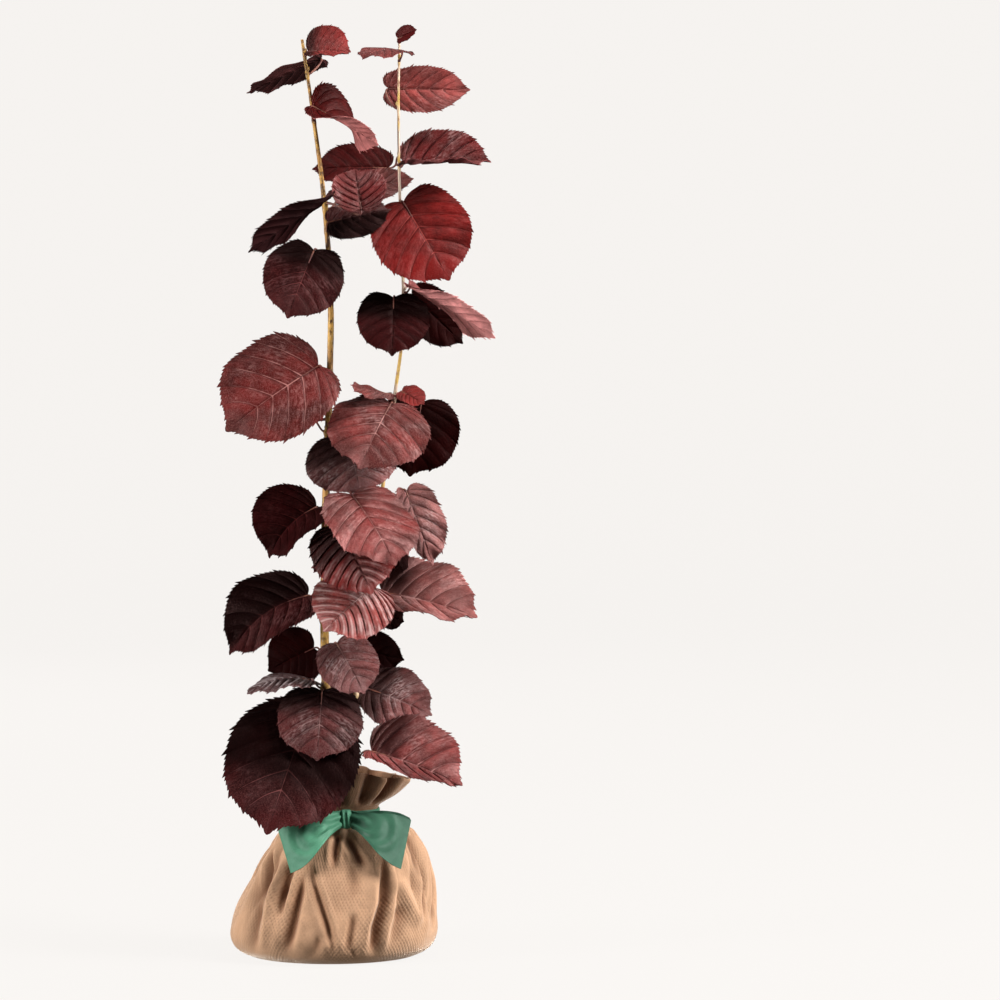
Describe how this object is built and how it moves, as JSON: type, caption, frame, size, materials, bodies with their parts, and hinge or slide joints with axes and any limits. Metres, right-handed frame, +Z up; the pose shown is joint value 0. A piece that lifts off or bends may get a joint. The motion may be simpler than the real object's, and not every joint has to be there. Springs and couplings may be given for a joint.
{
  "type": "purple hazel plant",
  "caption": "Young purple hazel with slender upright stems of large rounded dark red leaves, on a root ball wrapped in a jute sack that a ribbon bow ties at the neck.",
  "frame": {"origin": "centre of the sack's flat underside, on the ground", "axes": "+X to the right as seen from the front, +Y to the back, +Z up along the stems; the bow faces -Y"},
  "size_m": [0.2617, 0.1799, 0.8898],
  "materials": {
    "jute": "coarse light brown jute, matt",
    "ribbon": "green woven ribbon, matt",
    "bark": "smooth young bark, golden brown, matt",
    "leaf": "dark red leaf, ribbed, half glossy"
  },
  "bodies": {
    "root": {"sack": "jute", "ribbon_band": "ribbon", "bow_knot": "ribbon", "bow_loop_left": "ribbon", "bow_loop_right": "ribbon", "main_stem": "bark", "side_stem": "bark", "main_leaf_01": "leaf", "main_leaf_02": "leaf", "main_leaf_03": "leaf", "main_leaf_04": "leaf", "main_leaf_05": "leaf", "main_leaf_06": "leaf", "main_leaf_07": "leaf", "main_leaf_08": "leaf", "main_leaf_09": "leaf", "main_leaf_10": "leaf", "main_leaf_11": "leaf", "main_leaf_12": "leaf", "main_leaf_13": "leaf", "main_leaf_14": "leaf", "main_leaf_15": "leaf", "main_leaf_16": "leaf", "main_leaf_17": "leaf", "main_leaf_18": "leaf", "main_leaf_19": "leaf", "main_leaf_20": "leaf", "main_leaf_21": "leaf", "main_leaf_22": "leaf", "main_leaf_23": "leaf", "main_leaf_24": "leaf", "main_leaf_25": "leaf", "side_leaf_01": "leaf", "side_leaf_02": "leaf", "side_leaf_03": "leaf", "side_leaf_04": "leaf", "side_leaf_05": "leaf", "side_leaf_06": "leaf", "side_leaf_07": "leaf", "side_leaf_08": "leaf", "side_leaf_09": "leaf", "side_leaf_10": "leaf", "side_leaf_11": "leaf", "side_leaf_12": "leaf", "side_leaf_13": "leaf", "side_leaf_14": "leaf", "side_leaf_15": "leaf", "side_leaf_16": "leaf", "side_leaf_17": "leaf", "side_leaf_18": "leaf", "side_leaf_19": "leaf", "side_leaf_20": "leaf", "side_leaf_21": "leaf", "side_leaf_22": "leaf", "side_leaf_23": "leaf", "side_leaf_24": "leaf", "side_leaf_25": "leaf", "side_leaf_26": "leaf", "side_leaf_27": "leaf", "side_leaf_28": "leaf"}
  },
  "joints": []
}
